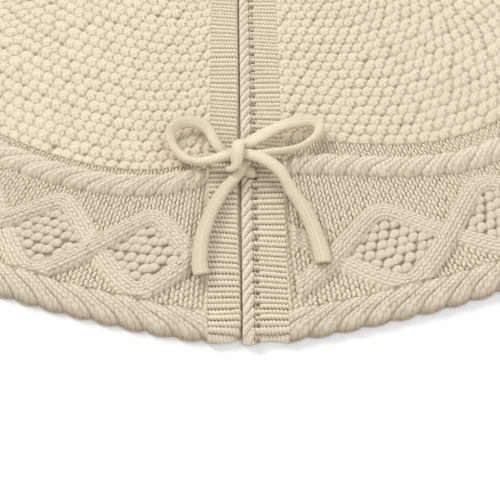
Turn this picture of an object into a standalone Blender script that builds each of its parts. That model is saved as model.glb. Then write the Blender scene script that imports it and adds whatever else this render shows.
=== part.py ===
"""Round knitted tree skirt: a disc split at the front, closed there by a bow.

The skirt lies flat on the floor. The origin is the middle of the disc at floor
level, +Z is up and the slit runs from the trunk hole to the hem along -Y.
Azimuths are counted in degrees from the slit, positive towards +X, which is
"right" for someone who stands in front of the slit.

The body is knitted in wedge-shaped gores, the cable border is one strip laid
round them, a ribbed band edges each side of the slit, a crocheted chain
finishes the right-hand band, and a neck band rings the trunk hole. The skirt
is put away folded in half along the X axis, so every piece ends at that line.
"""

import math

import bmesh
import bpy
from mathutils import Vector
from mathutils.geometry import interpolate_bezier

# Driving dimensions (metres unless the name says degrees)
SKIRT_RADIUS = 0.610
TRUNK_HOLE_RADIUS = 0.065
NECK_BAND_WIDTH = 0.022
NECK_BAND_HEIGHT = 0.009
BODY_THICKNESS = 0.008
BORDER_WIDTH = 0.158
BORDER_THICKNESS = 0.0092
BAND_LEFT_WIDTH = 0.028
BAND_RIGHT_WIDTH = 0.027
BAND_THICKNESS = 0.009
CHAIN_EDGE_WIDTH = 0.009
CHAIN_EDGE_HEIGHT = 0.0092
SLIT_GAP = 0.0015

# The border's raised cables, placed from its inner edge or from the hem
INNER_ROPE_INSET = 0.032
INNER_ROPE_WIDTH = 0.024
INNER_ROPE_HEIGHT = 0.0152
DIAMOND_INSET = 0.0935
DIAMOND_BELT_WIDTH = 0.078
DIAMOND_HEIGHT = 0.0118
HEM_ROPE_WIDTH = 0.025
HEM_ROPE_HEIGHT = 0.0155
HEM_EDGE_HEIGHT = 0.0035

# How the gores divide the body
GORE_COUNT = 8
FOLD_AZIMUTH = 90.0

# Tie cords and the stitched tabs that hold their ends
CORD_DIAMETER = 0.006
CORD_POINT_SPACING = 0.0052
TAB_LENGTH = 0.006
TAB_WIDTH = 0.0056
TAB_HEIGHT = 0.003
TIE_TO_BORDER = 0.015

# Clearances
SEAM_GAP = 0.0004
STACK_GAP = 0.0003
FOLD_GAP = 0.0006
CABLE_TO_FOLD_AXIS = 0.0008

# Fineness of the facets
FACET_DEGREES = 3.75
CABLE_FACETS = 8
PANEL_CHAMFER = 0.0015
BAND_ROUNDING = 0.003
ROUNDING_SEGMENTS = 3

# Worked out from the driving dimensions
GORE_DEGREES = 360.0 / GORE_COUNT
NECK_OUTER_RADIUS = TRUNK_HOLE_RADIUS + NECK_BAND_WIDTH
BORDER_INNER_RADIUS = SKIRT_RADIUS - BORDER_WIDTH
HALF_SLIT = SLIT_GAP / 2
LEFT_EDGE = HALF_SLIT + BAND_LEFT_WIDTH
CHAIN_OUTER_EDGE = HALF_SLIT + CHAIN_EDGE_WIDTH
RIGHT_BAND_START = CHAIN_OUTER_EDGE + SEAM_GAP
RIGHT_EDGE = RIGHT_BAND_START + BAND_RIGHT_WIDTH
FOLD_AXIS_HEIGHT = max(INNER_ROPE_HEIGHT, HEM_ROPE_HEIGHT) + CABLE_TO_FOLD_AXIS

BODY_YARN = (0.752, 0.645, 0.491)
BORDER_YARN = (0.660, 0.560, 0.420)
BAND_YARN = (0.730, 0.630, 0.491)
CORD_YARN = (0.760, 0.651, 0.515)

# The routes of the two ties, counted from the tie point: on the slit, a little
# inside the border's inner edge, at the height of the bands' upper face.
# Left tie: its tab, the round loop, over the knot, the right-hand tail.
LEFT_TIE_ROUTE = (
    (-0.0109, 0.0025, 0.0035),
    (-0.0145, 0.0025, 0.0037),
    (-0.0220, 0.0032, 0.0050),
    (-0.0295, 0.0145, 0.0068),
    (-0.0355, 0.0265, 0.0072),
    (-0.0460, 0.0340, 0.0070),
    (-0.0585, 0.0348, 0.0070),
    (-0.0672, 0.0290, 0.0070),
    (-0.0695, 0.0185, 0.0070),
    (-0.0652, 0.0055, 0.0070),
    (-0.0560, -0.0065, 0.0070),
    (-0.0440, -0.0115, 0.0080),
    (-0.0326, -0.0115, 0.0100),
    (-0.0220, -0.0102, 0.0135),
    (-0.0140, -0.0095, 0.0160),
    (-0.0070, -0.0095, 0.0172),
    (0.0010, -0.0110, 0.0178),
    (0.0105, -0.0143, 0.0182),
    (0.0205, -0.0200, 0.0172),
    (0.0290, -0.0272, 0.0150),
    (0.0352, -0.0370, 0.0122),
    (0.0400, -0.0475, 0.0106),
    (0.0470, -0.0580, 0.0086),
    (0.0540, -0.0735, 0.0072),
    (0.0595, -0.0920, 0.0068),
    (0.0630, -0.1080, 0.0068),
    (0.0642, -0.1175, 0.0068),
)
# Right tie: its tab, under the knot, up and over it as the wrap, the long
# loop, back through the knot, the left-hand tail.
RIGHT_TIE_ROUTE = (
    (0.0078, -0.0205, 0.0036),
    (0.0040, -0.0205, 0.0036),
    (-0.0015, -0.0182, 0.0035),
    (-0.0065, -0.0160, 0.0035),
    (-0.0115, -0.0160, 0.0046),
    (-0.0138, -0.0195, 0.0085),
    (-0.0118, -0.0220, 0.0138),
    (-0.0092, -0.0208, 0.0195),
    (-0.0080, -0.0155, 0.0236),
    (-0.0075, -0.0095, 0.0246),
    (-0.0068, -0.0035, 0.0226),
    (-0.0045, 0.0010, 0.0180),
    (0.0010, 0.0055, 0.0130),
    (0.0084, 0.0130, 0.0095),
    (0.0183, 0.0216, 0.0080),
    (0.0330, 0.0304, 0.0075),
    (0.0487, 0.0357, 0.0070),
    (0.0600, 0.0362, 0.0070),
    (0.0662, 0.0300, 0.0070),
    (0.0635, 0.0200, 0.0070),
    (0.0553, 0.0112, 0.0072),
    (0.0460, 0.0048, 0.0076),
    (0.0340, 0.0012, 0.0082),
    (0.0210, -0.0018, 0.0092),
    (0.0110, -0.0045, 0.0102),
    (0.0025, -0.0070, 0.0106),
    (-0.0030, -0.0112, 0.0104),
    (-0.0040, -0.0175, 0.0099),
    (-0.0070, -0.0245, 0.0084),
    (-0.0125, -0.0315, 0.0066),
    (-0.0175, -0.0370, 0.0052),
    (-0.0230, -0.0470, 0.0050),
    (-0.0290, -0.0610, 0.0062),
    (-0.0338, -0.0760, 0.0062),
    (-0.0375, -0.0920, 0.0068),
    (-0.0389, -0.1080, 0.0068),
    (-0.0385, -0.1210, 0.0068),
    (-0.0367, -0.1290, 0.0068),
)


def clear_scene():
    """Remove whatever objects the scene starts with."""
    for old in list(bpy.data.objects):
        bpy.data.objects.remove(old, do_unlink=True)


def yarn_material(name, colour, roughness):
    """A matt yarn finish of one colour."""
    material = bpy.data.materials.new(name)
    material.use_nodes = True
    shader = material.node_tree.nodes["Principled BSDF"]
    shader.inputs["Base Color"].default_value = (*colour, 1.0)
    shader.inputs["Roughness"].default_value = roughness
    shader.inputs["Metallic"].default_value = 0.0
    return material


def add_empty(name, height):
    """An empty on the Z axis that carries one half of the skirt."""
    empty = bpy.data.objects.new(name, None)
    empty.location = (0.0, 0.0, height)
    bpy.context.scene.collection.objects.link(empty)
    return empty


def finish_piece(name, bm, colour, carrier):
    """Turn a bmesh into a named, parented object with its own material."""
    bmesh.ops.recalc_face_normals(bm, faces=bm.faces[:])
    mesh = bpy.data.meshes.new(name)
    for vert in bm.verts:
        vert.co -= carrier.location
    bm.to_mesh(mesh)
    bm.free()
    mesh.shade_smooth()
    mesh.set_sharp_from_angle(angle=math.radians(35.0))
    piece = bpy.data.objects.new(name, mesh)
    piece.parent = carrier
    mesh.materials.append(yarn_material(name + "_yarn", colour, 0.9))
    bpy.context.scene.collection.objects.link(piece)
    return piece


def direction(azimuth):
    """Unit vector from the middle towards an azimuth."""
    angle = math.radians(azimuth)
    return Vector((math.sin(angle), -math.cos(angle), 0.0))


def trim(bm, point, normal):
    """Cut away what lies on the normal's side of a plane and close the cut."""
    geometry = bm.verts[:] + bm.edges[:] + bm.faces[:]
    result = bmesh.ops.bisect_plane(
        bm, geom=geometry, dist=1e-7, plane_co=point, plane_no=normal, clear_outer=True
    )
    cut = [item for item in result["geom_cut"] if isinstance(item, bmesh.types.BMEdge)]
    if cut:
        bmesh.ops.contextual_create(bm, geom=cut)


def trim_to_wedge(bm, start, end, gap):
    """Pull both radial ends of a wedge back by half a seam gap."""
    side = Vector((0.0, 0.0, 1.0)).cross(direction(start))
    trim(bm, side * (gap / 2), -side)
    side = Vector((0.0, 0.0, 1.0)).cross(direction(end))
    trim(bm, side * (-gap / 2), side)


def trim_at_fold(bm, start, end):
    """Leave half the fold's gap where a wedge ends on the fold line."""
    if FOLD_AZIMUTH in (abs(start), abs(end)):
        behind = abs(start + end) / 2 > FOLD_AZIMUTH
        away = Vector((0.0, -1.0 if behind else 1.0, 0.0))
        trim(bm, away * (-FOLD_GAP / 2), away)


def trim_at_bands(bm, start, end):
    """Keep a wedge clear of the bands, which are straight and parallel."""
    if start + end > 0:
        trim(bm, Vector((RIGHT_EDGE + SEAM_GAP, 0.0, 0.0)), Vector((-1.0, 0.0, 0.0)))
    else:
        trim(bm, Vector((-LEFT_EDGE - SEAM_GAP, 0.0, 0.0)), Vector((1.0, 0.0, 0.0)))


def swept_wedge(name, profile, start, end, colour, carrier):
    """Sweep a closed (radius, height) profile round the middle."""
    bm = bmesh.new()
    outward = direction(start)
    corners = [bm.verts.new(outward * radius + Vector((0.0, 0.0, height))) for radius, height in profile]
    section = bm.faces.new(corners)
    steps = max(2, math.ceil((end - start) / FACET_DEGREES))
    bmesh.ops.spin(
        bm,
        geom=[section] + section.edges[:] + section.verts[:],
        cent=(0.0, 0.0, 0.0),
        axis=(0.0, 0.0, 1.0),
        angle=math.radians(end - start),
        steps=steps,
    )
    trim_to_wedge(bm, start, end, SEAM_GAP)
    trim_at_fold(bm, start, end)
    if min(abs(start), abs(end)) < FOLD_AZIMUTH:
        trim_at_bands(bm, start, end)
    return finish_piece(name, bm, colour, carrier)


def panel_profile(inner, outer, thickness, chamfer):
    """Flat panel with its upper edges taken off."""
    return (
        (inner, 0.0),
        (outer, 0.0),
        (outer, thickness - chamfer),
        (outer - chamfer, thickness),
        (inner + chamfer, thickness),
        (inner, thickness - chamfer),
    )


def cable_crown(centre, width, base, height):
    """Upper line of a raised cable, from its inner foot to its outer foot."""
    points = []
    for step in range(CABLE_FACETS + 1):
        share = step / CABLE_FACETS
        rise = math.sin(math.pi * share) ** 0.7
        points.append((centre + width * (share - 0.5), base + (height - base) * rise))
    return points


def border_profile():
    """Section of the border strip: ground, inner rope, diamond belt, hem rope."""
    inner = BORDER_INNER_RADIUS + SEAM_GAP
    base = BORDER_THICKNESS
    hem_centre = SKIRT_RADIUS - HEM_ROPE_WIDTH / 2
    upper = [(inner, base)]
    upper += cable_crown(BORDER_INNER_RADIUS + INNER_ROPE_INSET, INNER_ROPE_WIDTH, base, INNER_ROPE_HEIGHT)
    upper += cable_crown(BORDER_INNER_RADIUS + DIAMOND_INSET, DIAMOND_BELT_WIDTH, base, DIAMOND_HEIGHT)
    upper += cable_crown(hem_centre, HEM_ROPE_WIDTH, base, HEM_ROPE_HEIGHT)[:-1]
    hem = [(SKIRT_RADIUS, HEM_EDGE_HEIGHT), (SKIRT_RADIUS, 0.0)]
    return [(inner, 0.0)] + upper + hem


def body_gores(front, back):
    """The body's wedges, cut at the slit and at the fold line."""
    profile = panel_profile(NECK_OUTER_RADIUS + SEAM_GAP, BORDER_INNER_RADIUS, BODY_THICKNESS, PANEL_CHAMFER)
    half = GORE_DEGREES / 2
    for side, sign in (("left", -1.0), ("right", 1.0)):
        swept_half_circle = (
            ("body_front_gore_" + side, 0.0, half, front),
            ("body_second_gore_" + side, half, half + GORE_DEGREES, front),
            ("body_side_gore_front_" + side, half + GORE_DEGREES, FOLD_AZIMUTH, front),
            ("body_side_gore_back_" + side, FOLD_AZIMUTH, half + 2 * GORE_DEGREES, back),
            ("body_rear_gore_" + side, half + 2 * GORE_DEGREES, half + 3 * GORE_DEGREES, back),
        )
        for name, near, far, carrier in swept_half_circle:
            start, end = sorted((sign * near, sign * far))
            swept_wedge(name, profile, start, end, BODY_YARN, carrier)
    start = half + 3 * GORE_DEGREES
    swept_wedge("body_back_gore", profile, start, start + GORE_DEGREES, BODY_YARN, back)


def border_strip(front, back):
    """The cable border in quarters: the slit, the fold and the back join."""
    profile = border_profile()
    swept_wedge("border_front_left", profile, -FOLD_AZIMUTH, 0.0, BORDER_YARN, front)
    swept_wedge("border_front_right", profile, 0.0, FOLD_AZIMUTH, BORDER_YARN, front)
    swept_wedge("border_back_left", profile, -180.0, -FOLD_AZIMUTH, BORDER_YARN, back)
    swept_wedge("border_back_right", profile, FOLD_AZIMUTH, 180.0, BORDER_YARN, back)


def neck_band(front, back):
    """The ribbed band round the trunk hole."""
    profile = panel_profile(TRUNK_HOLE_RADIUS, NECK_OUTER_RADIUS, NECK_BAND_HEIGHT, BAND_ROUNDING)
    swept_wedge("neck_band_front_left", profile, -FOLD_AZIMUTH, 0.0, BAND_YARN, front)
    swept_wedge("neck_band_front_right", profile, 0.0, FOLD_AZIMUTH, BAND_YARN, front)
    swept_wedge("neck_band_back", profile, FOLD_AZIMUTH, 360.0 - FOLD_AZIMUTH, BAND_YARN, back)


def rounded_bar(name, low, high, rounding, colour, carrier):
    """A straight bar with its upper long edges rounded."""
    bm = bmesh.new()
    bmesh.ops.create_cube(bm, size=1.0)
    for vert in bm.verts:
        vert.co = Vector([lo + (hi - lo) * (c + 0.5) for lo, hi, c in zip(low, high, vert.co)])
    top = high[2] - 1e-6
    long_edges = []
    for edge in bm.edges:
        level = all(vert.co.z > top for vert in edge.verts)
        along = abs(edge.verts[0].co.y - edge.verts[1].co.y) > 1e-6
        if level and along:
            long_edges.append(edge)
    bmesh.ops.bevel(
        bm, geom=long_edges, offset=rounding, segments=ROUNDING_SEGMENTS, profile=0.5, affect="EDGES"
    )
    return finish_piece(name, bm, colour, carrier)


def front_bands(front):
    """The two ribbed bands and the chain edging, from the trunk hole to the hem."""
    hem = -SKIRT_RADIUS
    neck = -TRUNK_HOLE_RADIUS
    rounded_bar(
        "front_band_left",
        (-LEFT_EDGE, hem, 0.0),
        (-HALF_SLIT, neck, BAND_THICKNESS),
        BAND_ROUNDING,
        BAND_YARN,
        front,
    )
    rounded_bar(
        "front_band_right",
        (RIGHT_BAND_START, hem, 0.0),
        (RIGHT_EDGE, neck, BAND_THICKNESS),
        BAND_ROUNDING,
        BAND_YARN,
        front,
    )
    rounded_bar(
        "chain_edge_right",
        (HALF_SLIT, hem, 0.0),
        (CHAIN_OUTER_EDGE, neck, CHAIN_EDGE_HEIGHT),
        CHAIN_EDGE_WIDTH * 0.42,
        BAND_YARN,
        front,
    )


def tie_point():
    """Where the ties are counted from: on the slit, just inside the border."""
    return Vector((0.0, TIE_TO_BORDER - BORDER_INNER_RADIUS, max(BAND_THICKNESS, CHAIN_EDGE_HEIGHT)))


def tie_tabs(front):
    """The stitched tabs that the ties start from, one on each side of the slit."""
    origin = tie_point()
    for side, route in (("left", LEFT_TIE_ROUTE), ("right", RIGHT_TIE_ROUTE)):
        end = origin + Vector(route[0])
        near = end.x + STACK_GAP
        low = (near, end.y - TAB_WIDTH / 2, origin.z + STACK_GAP)
        high = (near + TAB_LENGTH, end.y + TAB_WIDTH / 2, origin.z + STACK_GAP + TAB_HEIGHT)
        rounded_bar("tie_tab_" + side, low, high, TAB_HEIGHT / 3, CORD_YARN, front)


def smooth_points(route):
    """Evenly spaced points on a smooth curve through a route's own points."""
    knots = [tie_point() + Vector(point) for point in route]
    fine = []
    for index in range(len(knots) - 1):
        here, there = knots[index], knots[index + 1]
        before = knots[max(index - 1, 0)]
        after = knots[min(index + 2, len(knots) - 1)]
        reach = (there - here).length / 3
        leave = here + (there - before).normalized() * reach
        arrive = there - (after - here).normalized() * reach
        fine += interpolate_bezier(here, leave, arrive, there, 9)[:-1]
    fine.append(knots[-1])
    lengths = [0.0]
    for first, second in zip(fine, fine[1:]):
        lengths.append(lengths[-1] + (second - first).length)
    count = round(lengths[-1] / CORD_POINT_SPACING)
    points = []
    place = 0
    for step in range(count + 1):
        target = lengths[-1] * step / count
        while place < len(lengths) - 2 and lengths[place + 1] < target:
            place += 1
        share = (target - lengths[place]) / (lengths[place + 1] - lengths[place])
        points.append(fine[place].lerp(fine[place + 1], share))
    return points


def tie_cord(name, route, carrier):
    """A round cord along a route, as a curve with a bevel."""
    points = smooth_points(route)
    curve = bpy.data.curves.new(name, "CURVE")
    curve.dimensions = "3D"
    curve.bevel_depth = CORD_DIAMETER / 2
    curve.bevel_resolution = 2
    curve.use_fill_caps = True
    curve.render_resolution_u = 0
    spline = curve.splines.new("POLY")
    spline.points.add(len(points) - 1)
    for spline_point, point in zip(spline.points, points):
        spline_point.co = (*(point - carrier.location), 1.0)
    curve.materials.append(yarn_material(name + "_yarn", CORD_YARN, 0.9))
    cord = bpy.data.objects.new(name, curve)
    cord.parent = carrier
    bpy.context.scene.collection.objects.link(cord)
    return cord


def build():
    """Make every piece of the skirt."""
    clear_scene()
    front = add_empty("front_half", 0.0)
    back = add_empty("back_half_on_fold_axis", FOLD_AXIS_HEIGHT)
    body_gores(front, back)
    border_strip(front, back)
    neck_band(front, back)
    front_bands(front)
    tie_tabs(front)
    tie_cord("tie_cord_left", LEFT_TIE_ROUTE, front)
    tie_cord("tie_cord_right", RIGHT_TIE_ROUTE, front)


build()
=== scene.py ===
"""Looks of a round knitted tree skirt: body, cable border, slit bands and a tied bow.

Azimuths are in degrees from the slit (-Y), positive towards +X. "Inwards" is
towards the trunk hole. Heights are above the floor.
"""

import math

import bpy
import numpy as np
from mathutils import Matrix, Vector
from mathutils.geometry import interpolate_bezier


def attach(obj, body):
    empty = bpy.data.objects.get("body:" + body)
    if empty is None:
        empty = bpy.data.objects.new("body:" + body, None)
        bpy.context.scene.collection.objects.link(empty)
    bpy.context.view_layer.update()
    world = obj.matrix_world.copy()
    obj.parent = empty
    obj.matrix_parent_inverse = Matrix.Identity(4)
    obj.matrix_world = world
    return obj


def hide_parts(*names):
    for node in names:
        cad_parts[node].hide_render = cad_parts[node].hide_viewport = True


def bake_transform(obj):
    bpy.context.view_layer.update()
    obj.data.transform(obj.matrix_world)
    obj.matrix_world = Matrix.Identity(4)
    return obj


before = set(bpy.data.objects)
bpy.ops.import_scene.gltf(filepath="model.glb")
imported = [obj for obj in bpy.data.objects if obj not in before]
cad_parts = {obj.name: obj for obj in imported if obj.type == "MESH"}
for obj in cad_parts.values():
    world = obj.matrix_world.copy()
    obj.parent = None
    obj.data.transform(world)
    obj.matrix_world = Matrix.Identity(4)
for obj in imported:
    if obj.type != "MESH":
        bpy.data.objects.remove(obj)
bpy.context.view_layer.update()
bpy.ops.object.select_all(action="DESELECT")
scene = bpy.context.scene

MM = 0.001

# ---------------------------------------------------------------- camera


def add_camera():
    """Looks down at the slit from in front of the hem."""
    data = bpy.data.cameras.new("camera")
    data.lens = 70.0
    data.sensor_width = 36.0
    data.clip_start = 0.01
    data.clip_end = 50.0
    camera = bpy.data.objects.new("camera", data)
    scene.collection.objects.link(camera)
    place = Vector((0.003, -0.985, 0.6995))
    aim = Vector((0.003, -0.531, 0.0))
    camera.location = place
    camera.rotation_euler = (aim - place).to_track_quat("-Z", "Y").to_euler()
    scene.camera = camera


add_camera()

# ---------------------------------------------------------------- shader maths


class Value:
    """A number that varies over a surface; Python operators add Math nodes."""

    def __init__(self, shader, socket):
        self.shader = shader
        self.socket = socket

    def maths(self, operation, *others):
        inputs = dict(enumerate((self, *others)))
        return self.shader.node("ShaderNodeMath", {"operation": operation}, inputs)

    def __add__(self, other):
        return self.maths("ADD", other)

    def __mul__(self, other):
        return self.maths("MULTIPLY", other)

    def __sub__(self, other):
        return self.maths("SUBTRACT", other)

    def __rsub__(self, other):
        return self.maths("MULTIPLY", -1.0).maths("ADD", other)

    __radd__ = __add__
    __rmul__ = __mul__

    def power(self, exponent):
        return self.maths("POWER", exponent)

    def sine(self):
        return self.maths("SINE")

    def at_least(self, least):
        return self.maths("MAXIMUM", least)

    def at_most(self, most):
        return self.maths("MINIMUM", most)


class Shader:
    """A material's node tree, with one method that adds any node."""

    def __init__(self, name):
        self.material = bpy.data.materials.new(name)
        self.material.use_nodes = True
        self.tree = self.material.node_tree
        self.surface = self.tree.nodes["Principled BSDF"]

    def node(self, kind, settings=None, values=None, out=0):
        added = self.tree.nodes.new(kind)
        for key, setting in (settings or {}).items():
            setattr(added, key, setting)
        for key, value in (values or {}).items():
            value = value.socket if isinstance(value, Value) else value
            if isinstance(value, bpy.types.NodeSocket):
                self.tree.links.new(value, added.inputs[key])
            else:
                added.inputs[key].default_value = value
        return Value(self, added.outputs[out])

    def feed(self, key, value):
        self.tree.links.new(value.socket, self.surface.inputs[key])

    def set(self, key, value):
        self.surface.inputs[key].default_value = value


def mixed(shader, share, first, second):
    """Colour between two colours, by a share from 0 to 1."""
    values = {0: share, 6: first, 7: second}
    return shader.node("ShaderNodeMix", {"data_type": "RGBA"}, values, out=2)


def speckle(shader, place, scale, detail):
    values = {"Vector": place, "Scale": scale, "Detail": detail}
    return shader.node("ShaderNodeTexNoise", None, values)


def yarn(name, light, shade, gap_shade):
    """Soft matt yarn in three colours, each (red, green, blue).

    It mottles at random between light and shade, the yarn's own paler and
    darker tones, and darkens towards gap_shade, a painted shade colour, where
    the "stitch" attribute says that the knit is deep. The "under" attribute is
    1 on the underside, which shows small knots and no plies; the hollows between
    the knots get painted shade too.
    """
    shader = Shader(name)
    place = shader.node("ShaderNodeTexCoord", out=3)  # Object coordinates
    stitch = shader.node("ShaderNodeAttribute", {"attribute_name": "stitch"}, out=1)
    parts = shader.node("ShaderNodeSeparateXYZ", None, {0: stitch})
    along, across, crest = (Value(shader, output) for output in parts.socket.node.outputs)
    clouds = speckle(shader, place, 38.0, 2.0)
    flecks = speckle(shader, place, 420.0, 3.0)
    fibres = speckle(shader, place, 1500.0, 2.0)
    under = shader.node("ShaderNodeAttribute", {"attribute_name": "under"}, out=2)
    cells = {"Vector": place, "Scale": 115.0, "Randomness": 0.7}
    apart = shader.node("ShaderNodeTexVoronoi", None, cells)
    knots = (1.0 - apart * apart * 1.7).at_least(0.0)
    tone = (clouds - 0.5) * 0.7 + (flecks - 0.5) * 1.7 + 0.5
    body = mixed(shader, tone.at_least(0.0).at_most(1.0), (*shade, 1.0), (*light, 1.0))
    # painted shade: depth is 0 where the colour is all gap_shade and 1 where it is the yarn's own
    depth = crest * 1.25 * (1.0 - under) + (knots * 0.55 + 0.45) * under
    depth = depth.at_least(0.0).at_most(1.0)
    shader.feed("Base Color", mixed(shader, depth.power(0.75), (*gap_shade, 1.0), body))
    plies = (across * math.tau + along * math.tau).sine() * 0.5 + 0.5
    relief = plies * (1.0 - under) * 0.35 + fibres * 0.25 + flecks * 0.35 + knots * under * 2.2
    values = {"Height": relief, "Strength": 0.8, "Distance": 0.0012}
    shader.feed("Normal", shader.node("ShaderNodeBump", None, values))
    shader.set("Roughness", 0.88)
    shader.set("Specular IOR Level", 0.25)
    shader.set("Sheen Weight", 0.25)
    shader.set("Sheen Roughness", 0.6)
    return shader.material


# light and shade are each yarn's own tones; the third colour is painted shade for the hollows
BODY_YARN = yarn("body_yarn", (0.82, 0.71, 0.55), (0.70, 0.595, 0.44), (0.33, 0.235, 0.135))
BORDER_YARN = yarn("border_yarn", (0.85, 0.74, 0.58), (0.74, 0.63, 0.475), (0.27, 0.19, 0.105))
BAND_YARN = yarn("band_yarn", (0.88, 0.78, 0.62), (0.79, 0.69, 0.53), (0.27, 0.19, 0.11))
TAPE_YARN = yarn("tape_yarn", (0.94, 0.84, 0.635), (0.87, 0.765, 0.56), (0.47, 0.37, 0.24))

# ---------------------------------------------------------------- stitches
# These functions work on whole arrays. A rise goes from 0, the bottom of a gap,
# to 1, the top of a stitch. Lengths are in metres.

LEG_LENGTH = 0.0052
LEG_WIDTH = 0.0035
ROPE_STRAND = 0.0105  # width of a rope's strand over its stitches
ROPE_SWEEP = 1.35  # angle from a rope's middle to its edge, seen along it


def chance(column, row, which):
    """Repeatable number from 0 to 1 for each stitch."""
    mixed_up = np.sin(column * 12.9898 + row * 78.233 + which * 37.719) * 43758.5453
    return mixed_up - np.floor(mixed_up)


def smooth(low, high, value):
    """0 below low, 1 above high, eased between them."""
    share = np.clip((value - low) / (high - low), 0.0, 1.0)
    return share * share * (3.0 - 2.0 * share)


def beads(across, along, shift, lean, half_length, half_width, wander, turns=False, bow=0.0):
    """Rows of oval stitches; each row is shifted against the one before.

    across and along count stitches; across is an array, or a function of the row
    for rows with their own counts. wander moves each stitch a little, turns makes
    every second row lean the other way, and bow curves each stitch. Returns the
    rise and the place inside the nearest stitch, along it and across it.
    """
    rise = np.zeros_like(along)
    inside_x = np.zeros_like(along)
    inside_y = np.zeros_like(along)
    for row_step in (-1, 0, 1):
        row = np.floor(along) + row_step
        moved = (across(row) if callable(across) else across) + shift * row
        for column_step in (-1, 0, 1):
            column = np.floor(moved) + column_step
            x = moved - column - 0.5 - wander * (chance(column, row, 1) - 0.5)
            y = along - row - 0.5 - wander * (chance(column, row, 2) - 0.5)
            slope = lean * (0.8 + 0.4 * chance(column, row, 3))
            if turns:
                slope = slope * np.where(np.mod(row, 2) < 1, 1.0, -1.0)
            y_tilted = y + slope * x - bow * x * x
            x_tilted = x - slope * 0.35 * y
            away = np.abs(x_tilted / half_length) ** 2.3 + np.abs(y_tilted / half_width) ** 2.3
            plump = np.clip(1.0 - away, 0.0, 1.0) ** 0.55
            one = plump * (0.86 + 0.14 * chance(column, row, 4))
            nearer = one > rise
            rise = np.where(nearer, one, rise)
            inside_x = np.where(nearer, x_tilted, inside_x)
            inside_y = np.where(nearer, y_tilted, inside_y)
    return rise, inside_x, inside_y


def legs(length, away):
    """Plain knitting on a strand: short stitches, laid like bricks, whose rows lean in turns."""
    return beads(
        length / LEG_LENGTH, away / LEG_WIDTH, shift=0.5, lean=0.46,
        half_length=0.68, half_width=0.56, wander=0.14, turns=True,
    )


def twist(along, away, half_width, pitch, slant):
    """Rope of fat knitted strands that cross it at a slant.

    along and away are measured from the rope's middle line. Returns the rise of
    the rope, of its strands and of their stitches, and the place inside a stitch.
    """
    n = away / half_width
    along = along + 0.0011 * np.sin(along * 71.0) + 0.0008 * np.sin(along * 163.0 + 1.3)
    phase = along / pitch + slant * np.sin(np.clip(n, -1.0, 1.0) * ROPE_SWEEP)
    share = phase - np.floor(phase)
    bulge = np.clip(1.0 - np.abs(2.0 * share - 1.0) ** 2.2, 0.0, 1.0) ** 0.7
    reach = 0.84 + 0.16 * bulge  # the rope is narrower between its strands
    crown = np.sqrt(np.clip(1.0 - (n / reach) ** 2, 0.0, 1.0))
    climb = half_width / (pitch * slant * ROPE_SWEEP)
    length = (along - climb * away) / math.sqrt(1.0 + float(np.mean(climb ** 2)))
    stitch, inside_x, inside_y = legs(length, share * ROPE_STRAND)
    uneven = 0.95 + 0.10 * chance(np.floor(phase), 0.0, 7)
    rise = crown * uneven * (0.77 + 0.23 * bulge) * (0.86 + 0.14 * stitch)
    return rise, bulge, stitch, inside_x, inside_y


# ---------------------------------------------------------------- lie of the cloth

# radii, where the rows aren't drawn in
HOLE = 0.065
NECK = 0.087
BODY_EDGE = 0.4565
ROPE_RADIUS = 0.484
DIAMOND_RADIUS = 0.5475
HEM_MIDDLE = 0.6
HEM_EDGE = 0.6105

BODY_ROW = 0.0126
BODY_STITCH = 0.0103
ROPE_HALF_WIDTH = 0.0122
HEM_HALF_WIDTH = 0.0128

LEFT_BAND = -0.02875  # x of the bands' outer edges
RIGHT_BAND = 0.03715


def pull(azimuth):
    """How far the rows are drawn inwards beside the slit, from 0 to 1."""
    right = 0.5 + 0.5 * np.cos(np.pi * np.clip((azimuth - 4.0) / 24.0, 0.0, 1.0))
    left = np.exp(-(np.clip(-azimuth, 0.0, 180.0) / 7.5) ** 1.4)
    return np.where(azimuth > 0.0, right, left)


def rope_radius(azimuth):
    depth = np.where(azimuth > 0.0, 0.039, 0.043)
    return ROPE_RADIUS - depth * pull(azimuth)


def body_radius(azimuth):
    """Where the body meets the border, which is nearer to the rope in front on the left."""
    nearer = smooth(-110.0, -60.0, azimuth) * (1.0 - smooth(-6.0, 6.0, azimuth))
    return rope_radius(azimuth) - 0.0275 + 0.0090 * nearer


def diamond_radius(azimuth):
    return DIAMOND_RADIUS - 0.006 * np.where(azimuth < 0.0, pull(azimuth), 0.0)


def hem_radius(azimuth):
    """The hem rope's outer edge, without its scallops, which hangs lower beside the slit."""
    return HEM_EDGE + 0.010 * np.exp(-(azimuth / 9.0) ** 2)


def flat_radius(azimuth, radius):
    """The radius that a point of the body would have if the rows weren't drawn in."""
    depth = (ROPE_RADIUS - rope_radius(azimuth)) / (BODY_EDGE - NECK)
    return (radius - NECK) / (1.0 - depth) + NECK


def lay(x, y):
    """Sideways drift of the cloth along the slit, as it was put down."""
    start = smooth(0.0, 1.0, (-y - HOLE) / 0.168)
    amount = start * (8.0 - 5.4 * np.clip((-y - 0.233) / 0.377, 0.0, 1.0)) * MM
    return x - amount * np.exp(-(x / 0.22) ** 2) * (y < 0)


# ---------------------------------------------------------------- knitted areas
# An area takes azimuths (degrees) and radii (metres), or x and y, and returns
# heights in metres and the "stitch" attribute: two stitch coordinates for the
# plies and the crest, from 0 in a gap to 1 on top. The crest sets the painted
# shade: at 0 the yarn takes its painted gap shade, at 1 none. Inside it,
# heights are in millimetres.


def legs_apart(inside_x, inside_y):
    """Dip between the two legs of a stitch, which meet at its upper end."""
    return 1.0 - 0.36 * np.exp(-(inside_x / 0.11) ** 2) * smooth(-0.28, 0.30, inside_y)


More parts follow.
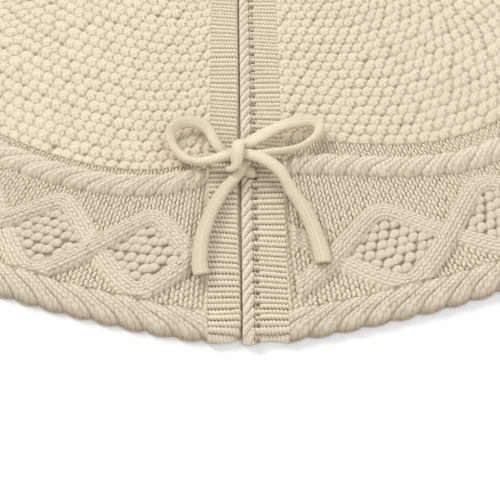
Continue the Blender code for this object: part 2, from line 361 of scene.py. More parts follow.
def body_area(azimuth, radius):
    """Rows of plump slanting stitches, in columns parallel near the slit that fan out further round."""
    rows = (flat_radius(azimuth, radius) - BODY_EDGE) / BODY_ROW
    turned = np.minimum(np.abs(azimuth), 30.0)
    beyond = 0.866 * np.radians(np.abs(azimuth) - turned)
    spread = np.sign(azimuth) * (np.sin(np.radians(turned)) + beyond)
    fanned = smooth(26.0, 44.0, np.abs(azimuth))

    def across(row):
        """Where the columns fan out, five rows at a time have the same number of stitches."""
        ring = BODY_EDGE + (np.floor(row / 5.0) * 5.0 + 2.5) * BODY_ROW
        return (radius + (ring - radius) * fanned) * spread / BODY_STITCH

    rise, inside_x, inside_y = beads(
        across, rows, shift=np.where(azimuth < 0.0, 0.58, 0.5), lean=0.44,
        half_length=0.80, half_width=0.63, wander=0.26, bow=0.45,
    )
    # pits at the two sides of each stitch: sunk, and darkened with painted shade through the crest
    pit = np.exp(-((np.abs(inside_x) - 0.46) / 0.14) ** 2 - ((inside_y - 0.22) / 0.18) ** 2)
    rise = rise * (1.0 - 0.85 * pit) * legs_apart(inside_x, inside_y)
    height = (5.6 + 2.7 * rise) * MM
    return height, inside_x * 0.8, inside_y * 2.6, 1.08 * rise


def ground_area(azimuth, radius):
    """Border ground: columns of small upright stitches that lean in turns."""
    s = np.radians(azimuth) * 0.53
    return beads(
        radius / 0.0062, s / 0.0037, shift=0.5, lean=0.46,
        half_length=0.66, half_width=0.54, wander=0.12, turns=True,
    )


LEFT_START, RIGHT_START = -4.1, 8.1  # azimuths where the strands first cross
LEFT_SPAN, RIGHT_SPAN = 9.258, 10.74  # degrees from one crossing to the next
DIAMOND_REACH = 0.0368  # from a diamond's middle to its tip, along the radius
DIAMOND_BEND = 0.94  # 0 for a wave, 1 for straight sides and sharp corners
FULL_BEND = math.asin(DIAMOND_BEND)
STRAND_HALF_WIDTH = 0.0094


def strand(azimuth, radius, sign, start, span):
    """One of the two strands that make the diamonds.

    Returns its crown, how far it lies over (1) or under (-1) the other strand,
    its stitch and the place inside that stitch.
    """
    turn = np.pi * (azimuth - start) / span
    bent = DIAMOND_BEND * np.sin(turn)
    shape = np.arcsin(bent) / FULL_BEND
    lean = DIAMOND_BEND * np.cos(turn) / np.sqrt(1.0 - bent ** 2) / FULL_BEND
    centre = diamond_radius(azimuth) + sign * DIAMOND_REACH * shape
    arc = np.radians(span) * DIAMOND_RADIUS
    slope = sign * DIAMOND_REACH * lean * np.pi / arc
    away = (radius - centre) / np.sqrt(1.0 + slope ** 2)
    length = turn / np.pi * arc * 1.28 + away * slope * 0.3
    crown = np.sqrt(np.clip(1.0 - (away / STRAND_HALF_WIDTH) ** 2, 0.0, 1.0))
    over = -np.sign(slope) * smooth(0.25, 0.9, np.abs(np.cos(turn)))
    placed = away + 0.00185 + 0.37  # sets where the lines of legs fall across the strand
    stitch, inside_x, inside_y = legs(length, placed)
    return crown, over, stitch, inside_x, inside_y


HEM_PITCH = 0.0228
HEM_SLANT = 0.80


def hem_slant(azimuth):
    """The hem rope leans one way left of the slit and the other way right of it."""
    return np.where(azimuth < 0.0, -HEM_SLANT, HEM_SLANT)


def hem_along(azimuth):
    return np.radians(azimuth) * HEM_MIDDLE + np.where(azimuth < 0.0, 0.004, 0.0)


def scallop(azimuth):
    """How far the hem's outline swells at each strand."""
    phase = hem_along(azimuth) / HEM_PITCH + hem_slant(azimuth) * math.sin(ROPE_SWEEP)
    share = phase - np.floor(phase)
    return 0.0048 * np.sqrt(np.clip(1.0 - (2.0 * share - 1.0) ** 2, 0.0, 1.0)) - 0.0026


def border_area(azimuth, radius):
    """The border from the inside out: its ground, the inner rope, the diamonds and the hem rope."""
    left = azimuth < 0.0
    start = np.where(left, LEFT_START, RIGHT_START)
    span = np.where(left, LEFT_SPAN, RIGHT_SPAN)
    rise, inside_x, inside_y = ground_area(azimuth, radius)
    strip = smooth(0.0, 0.002, rope_radius(azimuth) - 0.0115 - radius)
    height = 4.3 + 3.5 * rise - strip * 0.6
    # the crest gives painted shade in the hollows between the ground's stitches
    crest = rise.copy()
    # moss stitches inside the diamonds
    turn = np.pi * (azimuth - start) / span
    middle = DIAMOND_REACH * np.arcsin(DIAMOND_BEND * np.abs(np.sin(turn))) / FULL_BEND
    inside = middle - np.abs(radius - diamond_radius(azimuth))
    beyond = np.where(left, azimuth < LEFT_START, azimuth > RIGHT_START)
    moss = smooth(0.0, 0.003, inside - 0.005) * beyond
    bead, bead_x, bead_y = beads(
        np.radians(azimuth) * DIAMOND_RADIUS / 0.0092,
        (radius - diamond_radius(azimuth)) / 0.0090,
        shift=0.5, lean=0.44, half_length=0.70, half_width=0.57, wander=0.28, bow=0.45,
    )
    bead = bead * legs_apart(bead_x, bead_y)
    height = height * (1.0 - moss) + moss * (5.6 + 3.4 * bead)
    # painted shade between the moss stitches
    crest = crest * (1.0 - moss) + moss * (0.12 + 0.88 * bead)
    inside_x = np.where(moss > 0.5, bead_x, inside_x)
    inside_y = np.where(moss > 0.5, bead_y * 3.6, inside_y)
    # inner rope
    away = radius - rope_radius(azimuth)
    rope, bulge, stitch, rope_x, rope_y = twist(
        np.radians(azimuth) * ROPE_RADIUS, away, ROPE_HALF_WIDTH, pitch=0.0215, slant=0.58
    )
    on_rope = np.abs(away) < ROPE_HALF_WIDTH
    rope_height = 4.8 + 10.2 * rope
    taller = on_rope & (rope_height > height)
    height = np.where(taller, rope_height, height)
    # painted shade on the inner rope: between its strands and stitches and down its low sides
    rope_crest = (0.74 + 0.26 * smooth(0.0, 0.6, bulge)) * (0.36 + 0.64 * stitch)
    rope_crest = rope_crest * (0.6 + 0.4 * smooth(0.1, 0.5, rope))
    crest = np.where(on_rope, rope_crest, crest)
    inside_x = np.where(taller, rope_x, inside_x)
    inside_y = np.where(taller, rope_y, inside_y)
    # diamond strands: the one that runs inwards to the right lies over the other
    for sign in (1.0, -1.0):
        crown, over, stitch, strand_x, strand_y = strand(azimuth, radius, sign, start, span)
        shown = (crown > 0.0) & np.where(left, azimuth < 3.0, azimuth > 4.6)
        high = 5.4 + (6.4 + 2.0 * over) * crown ** 0.7 * (0.72 + 0.28 * stitch)
        take = shown & (high > height)
        height = np.where(take, high, height)
        # painted shade on the strands: between their stitches and down their sides
        strand_crest = (0.16 + 0.84 * stitch) * (0.5 + 0.5 * smooth(0.0, 0.6, crown))
        crest = np.where(take, strand_crest, crest)
        # painted shade on the surface on top where a strand's low side runs under it
        crest = np.where(shown & ~take & (crown < 0.5), crest * 0.75, crest)
        inside_x = np.where(take, strand_x, inside_x)
        inside_y = np.where(take, strand_y, inside_y)
    # hem rope
    away = radius - (hem_radius(azimuth) - HEM_HALF_WIDTH)
    rope, bulge, stitch, rope_x, rope_y = twist(
        hem_along(azimuth), away, HEM_HALF_WIDTH, HEM_PITCH, hem_slant(azimuth)
    )
    on_hem = away > -HEM_HALF_WIDTH
    outside = away > 0.0
    hem_height = np.where(outside, 1.0 + 13.0 * rope, 4.4 + 9.6 * rope)
    take = on_hem & ((hem_height > height) | outside)
    height = np.where(take, hem_height, height)
    # painted shade on the hem rope: between its strands, between its stitches (less towards its outer
    # edge) and down its rounded sides
    stitch_shade = 0.72 - 0.40 * smooth(0.0, 0.8, away / HEM_HALF_WIDTH)
    hem_crest = (0.72 + 0.28 * smooth(0.0, 0.6, bulge)) * (1.0 - stitch_shade + stitch_shade * stitch)
    hem_crest = hem_crest * (0.28 + 0.60 * smooth(0.0, 0.85, rope))
    crest = np.where(on_hem, hem_crest, crest)
    inside_x = np.where(take, rope_x, inside_x)
    inside_y = np.where(take, rope_y, inside_y)
    return height * MM, inside_x * 0.5, inside_y * 2.0, crest


RIB = 0.0054
HOLES_X = 0.0124


def band_area(x, y, holes):
    """Wavy ribs across a slit band, with or without a column of holes between pairs of ribs."""
    rib = y / RIB + x * 8.0 + 0.30 * np.sin(y * 47.0 + x * 40.0) + 0.12 * np.sin(y * 151.0)
    row = np.floor(rib)
    part = rib - row
    column = x / 0.0031 + 0.5 * np.mod(row, 2) + 0.3 * chance(0.0, row, 5)
    stitch = 0.5 + 0.5 * np.cos(math.tau * (column + 0.22 * (part - 0.5)))
    crown = np.sqrt(np.clip(1.0 - ((part - 0.5) / 0.58) ** 2, 0.0, 1.0))
    deep = np.where((np.mod(row, 2) < 1) == (part < 0.5), 1.0, 0.45)
    groove = np.exp(-(np.minimum(part, 1.0 - part) / 0.2) ** 2)
    groove = groove * (0.75 * (1.0 - stitch) * deep + 0.04)
    rise = np.clip(crown * (0.80 + 0.20 * stitch) - groove, 0.0, 1.0)
    if holes:
        pair = y / (2.0 * RIB)
        hole = np.exp(-((x - HOLES_X) / 0.0020) ** 2 - ((pair - np.floor(pair) - 0.5) / 0.19) ** 2)
        rise = rise * (1.0 - np.clip(1.5 * hole, 0.0, 1.0))
    # the rise also sets the crest, so the grooves between the ribs and the holes get painted shade
    height = (4.6 + 4.2 * rise) * MM
    return height, rib, column, rise


# ---------------------------------------------------------------- sheets


FRONT, BACK = ["front_half"], ["back_half"]
BOTH = ["front_half", "back_half"]
UNDERSIDE = 0.0004


def build_sheet(name, x, y, z, stitch, material):
    """A closed sheet from a fine upper grid and a plain lower one four times coarser.

    stitch is three grids, for the attribute that the yarn reads.
    """
    columns, rows = x.shape
    upper = np.stack([x, y, z], axis=-1)
    coarse = upper[::4, ::4].copy()
    coarse[..., 2] = UNDERSIDE
    top = np.arange(columns * rows).reshape(columns, rows)
    low_columns, low_rows = coarse.shape[:2]
    low = columns * rows + np.arange(low_columns * low_rows).reshape(low_columns, low_rows)
    quads = np.concatenate([
        np.stack([top[:-1, :-1], top[:-1, 1:], top[1:, 1:], top[1:, :-1]], -1).reshape(-1, 4),
        np.stack([low[:-1, :-1], low[1:, :-1], low[1:, 1:], low[:-1, 1:]], -1).reshape(-1, 4),
    ])
    walls = []  # each with five upper corners and two lower ones
    for index in range(low_columns - 1):
        a = index * 4
        walls.append([*top[a:a + 5, 0], low[index + 1, 0], low[index, 0]])
        walls.append([*top[a:a + 5, -1][::-1], low[index, -1], low[index + 1, -1]])
    for index in range(low_rows - 1):
        a = index * 4
        walls.append([*top[0, a:a + 5][::-1], low[0, index], low[0, index + 1]])
        walls.append([*top[-1, a:a + 5], low[-1, index + 1], low[-1, index]])
    walls = np.array(walls)
    points = np.concatenate([upper.reshape(-1, 3), coarse.reshape(-1, 3)])
    points[:, 0] = lay(points[:, 0], points[:, 1])
    mesh = bpy.data.meshes.new(name)
    mesh.vertices.add(len(points))
    mesh.vertices.foreach_set("co", points.ravel())
    loops = np.concatenate([quads.ravel(), walls.ravel()]).astype(np.int32)
    mesh.loops.add(len(loops))
    mesh.loops.foreach_set("vertex_index", loops)
    quad_starts = np.arange(len(quads)) * 4
    wall_starts = len(quads) * 4 + np.arange(len(walls)) * 7
    starts = np.concatenate([quad_starts, wall_starts])
    mesh.polygons.add(len(starts))
    mesh.polygons.foreach_set("loop_start", starts.astype(np.int32))
    mesh.update(calc_edges=True)
    mesh.validate()
    marks = np.stack([part.astype(float) for part in stitch], -1)
    marks = np.concatenate([marks.reshape(-1, 3), marks[::4, ::4].reshape(-1, 3)])
    layer = mesh.attributes.new("stitch", "FLOAT_VECTOR", "POINT")
    layer.data.foreach_set("vector", marks.ravel().astype(np.float32))
    below = mesh.attributes.new("under", "FLOAT", "POINT")
    below.data.foreach_set("value", (np.arange(len(points)) >= columns * rows).astype(np.float32))
    mesh.shade_smooth()
    mesh.set_sharp_from_angle(angle=math.radians(80.0))
    mesh.materials.append(material)
    sheet = bpy.data.objects.new(name, mesh)
    scene.collection.objects.link(sheet)
    return sheet


def fours(length, step):
    """How many steps, a multiple of four, cover a length."""
    return 4 * max(1, math.ceil(length / step / 4))


def wedge_grid(first, last, inner, outer, step, bias=1.0):
    """Azimuths and radii over a wedge.

    first and last are functions of the radius, inner and outer of the azimuth. A
    bias above 1 sets the rows closer together towards the outer edge.
    """
    middle = np.array([(first(0.5) + last(0.5)) / 2])
    reach = float(np.max(outer(middle)))
    start = float(np.min(inner(middle)))
    columns = fours(math.radians(abs(last(reach) - first(reach))) * reach, step)
    rows = fours(reach - start, step)
    share = np.linspace(0.0, 1.0, columns + 1)[:, None] * np.ones((1, rows + 1))
    depth = np.linspace(0.0, 1.0, rows + 1)[None, :] * np.ones((columns + 1, 1))
    depth = 1.0 - (1.0 - depth) ** bias
    radius = start + (reach - start) * depth
    for _ in range(6):
        azimuth = first(radius) + (last(radius) - first(radius)) * share
        radius = inner(azimuth) + (outer(azimuth) - inner(azimuth)) * depth
    return azimuth, radius


def fixed(value):
    """The same limit everywhere."""
    return lambda other: value + 0.0 * np.asarray(other, dtype=float)


def band_side(edge):
    """Azimuth at which the straight line x = edge meets a radius."""

    def azimuth(radius):
        return np.degrees(np.arcsin(np.clip(edge / np.asarray(radius, dtype=float), -0.5, 0.5)))

    return azimuth


def to_xy(azimuth, radius):
    angle = np.radians(azimuth)
    return radius * np.sin(angle), -radius * np.cos(angle)


def finish_sheet(sheet, bodies, node):
    """Attach a sheet to the body that it rides on, or leave it in place if it lies on both, and hide
    the part that it stands for.
    """
    if len(bodies) == 2:
        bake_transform(sheet)
    else:
        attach(sheet, bodies[0])
    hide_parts(node)


def wedge_sheet(name, limits, step, area_of, material, bodies, node, bias=1.0):
    """A piece of the skirt between four limits: first, last, inner and outer."""
    azimuth, radius = wedge_grid(*limits, step, bias)
    height, along, across, rise = area_of(azimuth, radius)
    height, rise = gathered(azimuth, radius, height, rise)
    x, y = to_xy(azimuth, radius)
    sheet = build_sheet(name, x, y, height, (along, across, rise), material)
    arcs = np.hypot(np.diff(x, axis=0), np.diff(y, axis=0)).sum(axis=0)
    depths = radius[:, -1] - radius[:, 0]
    width, length = float(arcs.max()), float(np.max(depths))
    area = float(np.mean(arcs) * np.mean(depths))
    area = min(max(area, 0.31 * width * length), width * length)
    finish_sheet(sheet, bodies, node)


def gathered(azimuth, radius, height, rise):
    """The small folds beside each band, where the cloth is gathered into it. The folds' hollows get
    painted shade, and at the join with a band the cloth is raised and its painted shade lessened.
    """
    x = radius * np.sin(np.radians(azimuth))
    front = np.abs(azimuth) < 60.0
    beside = np.where(x > 0, x - RIGHT_BAND, LEFT_BAND - x)
    reach = smooth(0.36, 0.44, radius) * (1.0 - smooth(0.575, 0.60, radius))
    wave = 0.5 - 0.5 * np.cos(math.tau * beside / 0.0092 + 0.7 * np.sin(radius * 40.0))
    fold = np.exp(-(np.abs(beside) / 0.016) ** 1.5) * wave * front * reach
    joined = np.exp(-(beside / 0.0028) ** 2) * front * (height > 0.003)
    height = height + (np.maximum(height, 0.0078) - height) * joined
    rise = rise + (np.maximum(rise, 0.45) - rise) * joined
    return height * (1.0 - 0.34 * fold), rise * (1.0 - 0.40 * fold)


def make_side(name, node, side, wedges, inner, outer, area_of, material, bias=1.0):
    """The wedges on one side of the slit, which follow one another round from its band.

    Each says its name, its node, the azimuth where it ends, its mesh's step and
    the bodies that it lies on.
    """
    right = side == "right"
    near = band_side(RIGHT_BAND if right else LEFT_BAND)
    for part, of_node, end, step, bodies in wedges:
        far = fixed(end if right else -end)
        first, last = (near, far) if right else (far, near)
        limits = first, last, inner, outer
        wedge_sheet(
            name + part + "_" + side, limits, step, area_of, material,
            bodies, node + of_node + "_" + side, bias,
        )
        near = far


def make_body():
    wedges = (
        ("front_gore", "front_gore", 22.5, 0.00095, FRONT),
        ("second_gore", "second_gore", 67.5, 0.0016, FRONT),
        ("side_gore_front", "side_gore_front", 90.0, 0.0020, BOTH),
        ("side_gore_back", "side_gore_back", 112.5, 0.0020, BOTH),
        ("rear_gore", "rear_gore", 157.5, 0.0020, BACK),
    )
    inner = fixed(NECK)
    for side in ("left", "right"):
        make_side(
            "knit_body_", "body_", side, wedges,
            inner, body_radius, body_area, BODY_YARN,
        )
    limits = fixed(157.5), fixed(202.5), inner, body_radius
    wedge_sheet(
        "knit_body_back_gore", limits, 0.0020, body_area, BODY_YARN,
        BACK, "body_back_gore",
    )


def hem_edge(azimuth):
    return hem_radius(azimuth) + scallop(azimuth)


def make_border():
    wedges = (
        ("near", "front", 22.5, 0.0009, FRONT),
        ("second", "front", 45.0, 0.0011, FRONT),
        ("third", "front", 67.5, 0.0014, FRONT),
        ("side_front", "front", 90.0, 0.0014, BOTH),
        ("side_back", "back", 112.5, 0.0014, BOTH),
        ("rear", "back", 146.25, 0.0014, BACK),
        ("back", "back", 180.0, 0.0014, BACK),
    )
    for side in ("left", "right"):
        make_side(
            "knit_border_", "border_", side, wedges,
            body_radius, hem_edge, border_area, BORDER_YARN, bias=1.12,
        )


BAND_TOP = -HOLE
BAND_BOTTOM = -0.6215


def chain_area(x, y, share, width):
    """The chain edging: a small rope that narrows between its strands on its right side."""
    away = (share - 0.5) * width
    rope, bulge, stitch, along, across = twist(-y, away, width / 2, pitch=0.0108, slant=0.55)
    crown = np.sqrt(np.clip(1.0 - (2.0 * share - 1.0) ** 2, 0.0, 1.0))
    x = x - np.clip(share - 0.5, 0.0, 0.5) * width * 0.24 * (1.0 - bulge)
    height = (1.6 + 8.4 * crown ** 0.6 * (0.55 + 0.45 * bulge)) * MM
    # painted shade between the chain's strands and down its sides
    rise = (0.28 + 0.72 * smooth(0.0, 0.65, bulge)) * smooth(0.0, 0.6, crown)
    return x, height, along, across, rise


def thin_edge(y, from_slit, height, rise):
    """The left band's edge, which thins to a low lip beside the slit; the lip is darkened with painted
    shade.
    """
    lip = 0.0008 + 0.0011 * smooth(0.35, 0.42, -y) * (1.0 - smooth(0.50, 0.58, -y))
    edge = np.sqrt(1.0 - (1.0 - np.clip((from_slit - lip) / 0.0028, 0.0, 1.0)) ** 2)
    return height * (0.36 + 0.64 * edge), 0.34 + (rise - 0.34) * smooth(0.10, 0.95, edge)


def rolled_end(y, hem_from, height, rise):
    """The lower end, which rolls over the hem rope and down to the floor; the falling outer half gets
    painted shade.
    """
    across_hem = np.clip((-y - hem_from) / 0.0245, 0.0, 1.0)
    roll = np.sqrt(np.clip(1.0 - (2.0 * across_hem - 1.0) ** 2, 0.0, 1.0))
    past_middle = smooth(0.5, 1.0, across_hem)
    falling = 0.0012 + (height + 0.0034) * roll * 0.98
    height = np.where(across_hem > 0.5, falling, height + 0.0038 * roll)
    return height, rise * (1.0 - 0.25 * past_middle)


def corner(name, share):
    """How far inwards a band's lower end is drawn, across its width."""
    return {
        "knit_band_left": share ** 3 * 0.0055,
        "knit_band_right": np.sin(np.pi * share) * 0.0025,
        "chain_edge": (2.0 * share - 1.0) ** 2 * 0.0015 - 0.0015,
    }[name]


def make_bands():
    for name, left, right, step, node in (
        ("knit_band_left", LEFT_BAND, -0.0009, 0.0007, "front_band_left"),
        ("knit_band_right", 0.0098, RIGHT_BAND, 0.0007, "front_band_right"),
        ("chain_edge", -0.0006, 0.0103, 0.0006, "chain_edge_right"),
    ):
        width, length = right - left, BAND_TOP - BAND_BOTTOM
        columns, rows = fours(width, step), fours(length, step * 1.25)
        share = np.linspace(0.0, 1.0, columns + 1)[:, None] * np.ones((1, rows + 1))
        depth = np.linspace(0.0, 1.0, rows + 1)[None, :] * np.ones((columns + 1, 1))
        x = left + width * share
        y = BAND_TOP + (BAND_BOTTOM - BAND_TOP) * depth
        drawn_in = corner(name, share)
        y = y + drawn_in * smooth(0.58, 0.62, -y)
        if name == "chain_edge":
            x, height, along, across, rise = chain_area(x, y, share, width)
        else:
            height, along, across, rise = band_area(x, y, holes=name == "knit_band_right")
        if name == "knit_band_left":
            height, rise = thin_edge(y, (1.0 - share) * width, height, rise)
        height, rise = rolled_end(y, 0.597 - drawn_in, height, rise)
        sheet = build_sheet(name, x, y, height, (along, across, rise), BAND_YARN)
        finish_sheet(sheet, FRONT, node)


def neck_area(azimuth, radius):
    """Ribs that run inwards over a rounded band."""
    middle = 0.076
    s = np.radians(azimuth) * middle
    rib = 0.5 + 0.5 * np.cos(math.tau * s / 0.0052)
    n = (radius - middle) / 0.0114
    crown = np.sqrt(np.clip(1.0 - np.abs(n) ** 2.6, 0.0, 1.0))
    rows = radius / 0.0036
    rise = crown * (0.62 + 0.38 * rib) * (0.93 + 0.07 * np.cos(math.tau * rows))
    # the crest gives painted shade between the ribs and down the band's sides
    return (1.4 + 8.2 * rise) * MM, rows, s / 0.0026, 0.25 + 0.75 * rise


def make_neck():
    for part, first, last in (
        ("front_left", fixed(-90.0), band_side(LEFT_BAND)),
        ("front_right", band_side(RIGHT_BAND), fixed(90.0)),
        ("back", fixed(90.0), fixed(270.0)),
    ):
        limits = first, last, fixed(HOLE), fixed(NECK)
        wedge_sheet(
            "knit_neck_" + part, limits, 0.0008, neck_area, BAND_YARN,
            BOTH, "neck_band_" + part,
        )


# ---------------------------------------------------------------- ties

TIE_POINT = Vector((0.0, -0.437, 0.0092))

# The two cords' routes: x, y and z from TIE_POINT, in metres.
LEFT_TIE = (
    (-0.0109, 0.0025, 0.0035),
    (-0.0145, 0.0025, 0.0037),
    (-0.0220, 0.0032, 0.0050),
    (-0.0295, 0.0145, 0.0068),
    (-0.0355, 0.0265, 0.0072),
    (-0.0460, 0.0340, 0.0070),
    (-0.0585, 0.0348, 0.0070),
    (-0.0672, 0.0290, 0.0070),
    (-0.0695, 0.0185, 0.0070),
    (-0.0652, 0.0055, 0.0070),
    (-0.0560, -0.0065, 0.0070),
    (-0.0440, -0.0115, 0.0080),
    (-0.0326, -0.0115, 0.0100),
    (-0.0220, -0.0102, 0.0135),
    (-0.0140, -0.0095, 0.0160),
    (-0.0070, -0.0095, 0.0172),
    (0.0010, -0.0110, 0.0178),
    (0.0105, -0.0143, 0.0182),
    (0.0205, -0.0200, 0.0172),
    (0.0290, -0.0272, 0.0150),
    (0.0352, -0.0370, 0.0122),
    (0.0400, -0.0475, 0.0106),
    (0.0470, -0.0580, 0.0086),
    (0.0540, -0.0735, 0.0072),
    (0.0595, -0.0920, 0.0068),
    (0.0630, -0.1080, 0.0068),
    (0.0642, -0.1175, 0.0068),
)
RIGHT_TIE = (
    (0.0078, -0.0205, 0.0036),
    (0.0040, -0.0205, 0.0036),
    (-0.0015, -0.0182, 0.0035),
    (-0.0065, -0.0160, 0.0035),
    (-0.0115, -0.0160, 0.0046),
    (-0.0138, -0.0195, 0.0085),
    (-0.0118, -0.0220, 0.0138),
    (-0.0092, -0.0208, 0.0195),
    (-0.0080, -0.0155, 0.0236),
    (-0.0075, -0.0095, 0.0246),
    (-0.0068, -0.0035, 0.0226),
    (-0.0045, 0.0010, 0.0180),
    (0.0010, 0.0055, 0.0130),
    (0.0084, 0.0130, 0.0095),
    (0.0183, 0.0216, 0.0080),
    (0.0330, 0.0304, 0.0075),
    (0.0487, 0.0357, 0.0070),
    (0.0600, 0.0362, 0.0070),
    (0.0662, 0.0300, 0.0070),
    (0.0635, 0.0200, 0.0070),
    (0.0553, 0.0112, 0.0072),
    (0.0460, 0.0048, 0.0076),
    (0.0340, 0.0012, 0.0082),
    (0.0210, -0.0018, 0.0092),
    (0.0110, -0.0045, 0.0102),
    (0.0025, -0.0070, 0.0106),
    (-0.0030, -0.0112, 0.0104),
    (-0.0040, -0.0175, 0.0099),
    (-0.0070, -0.0245, 0.0084),
    (-0.0125, -0.0315, 0.0066),
    (-0.0175, -0.0370, 0.0052),
    (-0.0230, -0.0470, 0.0050),
    (-0.0290, -0.0610, 0.0062),
    (-0.0338, -0.0760, 0.0062),
    (-0.0375, -0.0920, 0.0068),
    (-0.0389, -0.1080, 0.0068),
    (-0.0385, -0.1210, 0.0068),
    (-0.0367, -0.1290, 0.0068),
)


TAPE_SPACING = 0.00075
TAPE_CORNERS = 56
TAPE_COLUMNS = 14.0  # of stitches round the tube
TAPE_STITCH = 0.0027


def fine_route(route):
    """Close, evenly spaced points on a smooth curve through a route's points, and its length."""
    knots = [TIE_POINT + Vector(point) for point in route]
    fine = []
    for index in range(len(knots) - 1):
        here, there = knots[index], knots[index + 1]
        before = knots[max(index - 1, 0)]
        after = knots[min(index + 2, len(knots) - 1)]
        reach = (there - here).length / 3
        leave = here + (there - before).normalized() * reach
        arrive = there - (after - here).normalized() * reach
        fine += interpolate_bezier(here, leave, arrive, there, 9)[:-1]
    fine.append(knots[-1])
    fine = np.array(fine)
    lengths = np.concatenate([[0.0], np.cumsum(np.linalg.norm(np.diff(fine, axis=0), axis=1))])
    places = np.linspace(0.0, lengths[-1], round(lengths[-1] / TAPE_SPACING) + 1)
    line = np.stack([np.interp(places, lengths, fine[:, axis]) for axis in range(3)], -1)
    return line, lengths[-1]


def tape(name, route, nodes, half_width, half_thickness, tilt):
    """A soft knitted tube, a little flattened, along a route.

    half_width, half_thickness and tilt, in radians, are functions of the share of
    its length.
    """
    line, length = fine_route(route)
    count = len(line)
    share = np.linspace(0.0, 1.0, count)
    ahead = np.gradient(line, axis=0)
    ahead /= np.linalg.norm(ahead, axis=1)[:, None]
    side = np.cross(ahead, [0.0, 0.0, 1.0])
    side /= np.linalg.norm(side, axis=1)[:, None]
    for _ in range(6):
        side[1:-1] = (side[:-2] + 2.0 * side[1:-1] + side[2:]) / 4.0
        side -= (side * ahead).sum(1)[:, None] * ahead
        side /= np.linalg.norm(side, axis=1)[:, None]
    up = np.cross(side, ahead)
    turn = tilt(share)
    wide = side * np.cos(turn)[:, None] + up * np.sin(turn)[:, None]
    thin = up * np.cos(turn)[:, None] - side * np.sin(turn)[:, None]
    around = np.linspace(0.0, math.tau, TAPE_CORNERS + 1)[:-1]
    width, thick = half_width(share), half_thickness(share)
    cap = np.clip(np.minimum(share, 1.0 - share) * length / 0.0022, 0.0, 1.0)
    cap = 0.72 + 0.28 * np.sqrt(1.0 - (1.0 - cap) ** 2)
    places = np.arange(count) * (length / (count - 1))
    column = around / math.tau * TAPE_COLUMNS
    vee = np.abs(2.0 * (column - np.floor(column)) - 1.0)
    rows = places[:, None] / TAPE_STITCH + 0.9 * vee[None, :]
    stitch = 0.5 + 0.5 * np.cos(math.tau * rows)
    knit = stitch * (0.35 + 0.65 * np.abs(np.sin(np.pi * column)) ** 0.5)[None, :]
    swell = 1.0 + 0.045 * (knit - 0.5)
    cross_x = np.sign(np.cos(around)) * np.abs(np.cos(around)) ** 0.85
    cross_y = np.sign(np.sin(around)) * np.abs(np.sin(around)) ** 0.85
    rings = (
        line[:, None, :]
        + wide[:, None, :] * (cross_x[None, :] * swell * (width * cap)[:, None])[..., None]
        + thin[:, None, :] * (cross_y[None, :] * swell * (thick * cap)[:, None])[..., None]
    )
    points = rings.reshape(-1, 3)
    points[:, 2] = np.maximum(points[:, 2], 0.0)
    faces = []
    for ring in range(0, (count - 1) * TAPE_CORNERS, TAPE_CORNERS):
        for corner in range(TAPE_CORNERS):
            a = ring + corner
            b = ring + (corner + 1) % TAPE_CORNERS
            faces.append((a, b, b + TAPE_CORNERS, a + TAPE_CORNERS))
    faces.append(tuple(range(TAPE_CORNERS - 1, -1, -1)))
    faces.append(tuple(range((count - 1) * TAPE_CORNERS, count * TAPE_CORNERS)))
    mesh = bpy.data.meshes.new(name)
    mesh.from_pydata(points.tolist(), [], faces)
    stitch_shade = smooth(0.55, 0.85, share)[:, None]  # the tails' stitches are looser
    # painted shade between the stitches, stronger on the tails, whose stitches are looser
    crest = 0.52 + 0.38 * knit - stitch_shade * (0.08 + 0.34 * (1.0 - knit))
    marks = np.stack([np.zeros(len(points)), np.tile(column * 2.0, count), crest.ravel()], -1)
    layer = mesh.attributes.new("stitch", "FLOAT_VECTOR", "POINT")
    layer.data.foreach_set("vector", marks.ravel().astype(np.float32))
    mesh.shade_smooth()
    mesh.set_sharp_from_angle(angle=math.radians(70.0))
    mesh.materials.append(TAPE_YARN)
    piece = bpy.data.objects.new(name, mesh)
    scene.collection.objects.link(piece)
    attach(piece, "front_half")
    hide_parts(*nodes)


def through(scale, *pairs):
    """A function of the share of length through (share, value) pairs, scaled."""
    places, values = zip(*pairs)
    return lambda share: np.interp(share, places, values) * scale


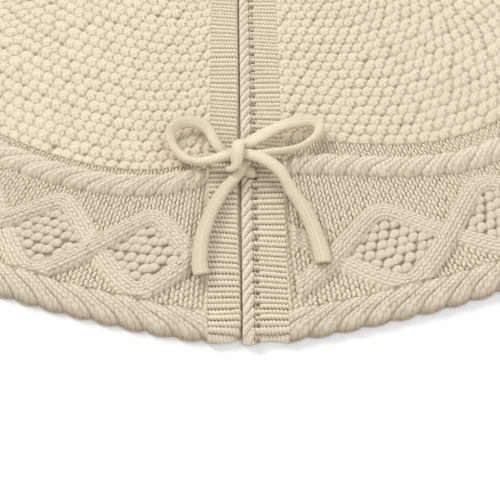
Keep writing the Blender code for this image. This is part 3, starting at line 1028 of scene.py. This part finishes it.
def make_ties():
    tape(
        "tie_tape_left",
        LEFT_TIE,
        ["tie_cord_left", "tie_tab_left"],
        half_width=through(
            MM, (0.0, 4.6), (0.08, 5.0), (0.2, 5.6), (0.45, 5.2), (0.55, 5.4),
            (0.62, 5.8), (0.78, 6.4), (1.0, 7.4),
        ),
        half_thickness=through(
            MM, (0.0, 2.4), (0.08, 2.6), (0.2, 3.2), (0.45, 3.2), (0.55, 3.0), (0.7, 3.0), (1.0, 2.8)
        ),
        tilt=through(
            1.0, (0.0, 0.0), (0.1, 0.7), (0.25, 0.9), (0.4, 0.7), (0.5, 0.0),
            (0.66, 0.0), (0.72, 0.5), (0.8, 0.0), (1.0, 0.0),
        ),
    )
    tape(
        "tie_tape_right",
        RIGHT_TIE,
        ["tie_cord_right", "tie_tab_right"],
        half_width=through(
            MM, (0.0, 5.0), (0.15, 5.6), (0.25, 6.4), (0.33, 5.6), (0.45, 5.2),
            (0.6, 5.0), (0.68, 4.8), (0.78, 5.8), (1.0, 6.9),
        ),
        half_thickness=through(
            MM, (0.0, 2.6), (0.15, 2.6), (0.25, 2.8), (0.4, 3.0), (0.6, 3.0), (0.7, 2.8), (1.0, 2.8)
        ),
        tilt=through(
            1.0, (0.0, 0.0), (0.3, 0.0), (0.4, -0.7), (0.5, -0.9), (0.6, -0.5), (0.68, 0.0), (1.0, 0.0)
        ),
    )


# ---------------------------------------------------------------- floor and light


def make_stage():
    bpy.ops.mesh.primitive_plane_add(size=14.0, location=(0.0, 0.0, -0.0012))
    floor = bpy.context.object
    floor.name = "floor"
    shader = Shader("pale_floor")
    shader.set("Base Color", (0.93, 0.93, 0.925, 1.0))
    shader.set("Roughness", 0.95)
    floor.data.materials.append(shader.material)
    bpy.ops.object.select_all(action="DESELECT")


def add_light(name, place, aim, size, power, colour):
    data = bpy.data.lights.new(name, "AREA")
    data.shape = "DISK"
    data.size = size
    data.energy = power
    data.color = colour
    light = bpy.data.objects.new(name, data)
    scene.collection.objects.link(light)
    light.location = place
    light.rotation_euler = (Vector(aim) - Vector(place)).to_track_quat("-Z", "Y").to_euler()


def make_light():
    world = bpy.data.worlds.new("studio")
    world.use_nodes = True
    sky = world.node_tree.nodes["Background"]
    sky.inputs["Color"].default_value = (1.0, 1.0, 1.0, 1.0)
    sky.inputs["Strength"].default_value = 0.80
    scene.world = world
    scene.view_settings.view_transform = "Standard"
    aim = (0.0, -0.4, 0.0)
    add_light("key", (-1.6, 1.3, 2.0), aim, size=0.9, power=45.0, colour=(1.0, 0.985, 0.96))
    add_light("fill", (1.8, -1.6, 2.2), aim, size=1.6, power=12.0, colour=(0.97, 0.985, 1.0))


make_ties()
make_stage()
make_light()
make_bands()
make_border()
make_body()
make_neck()
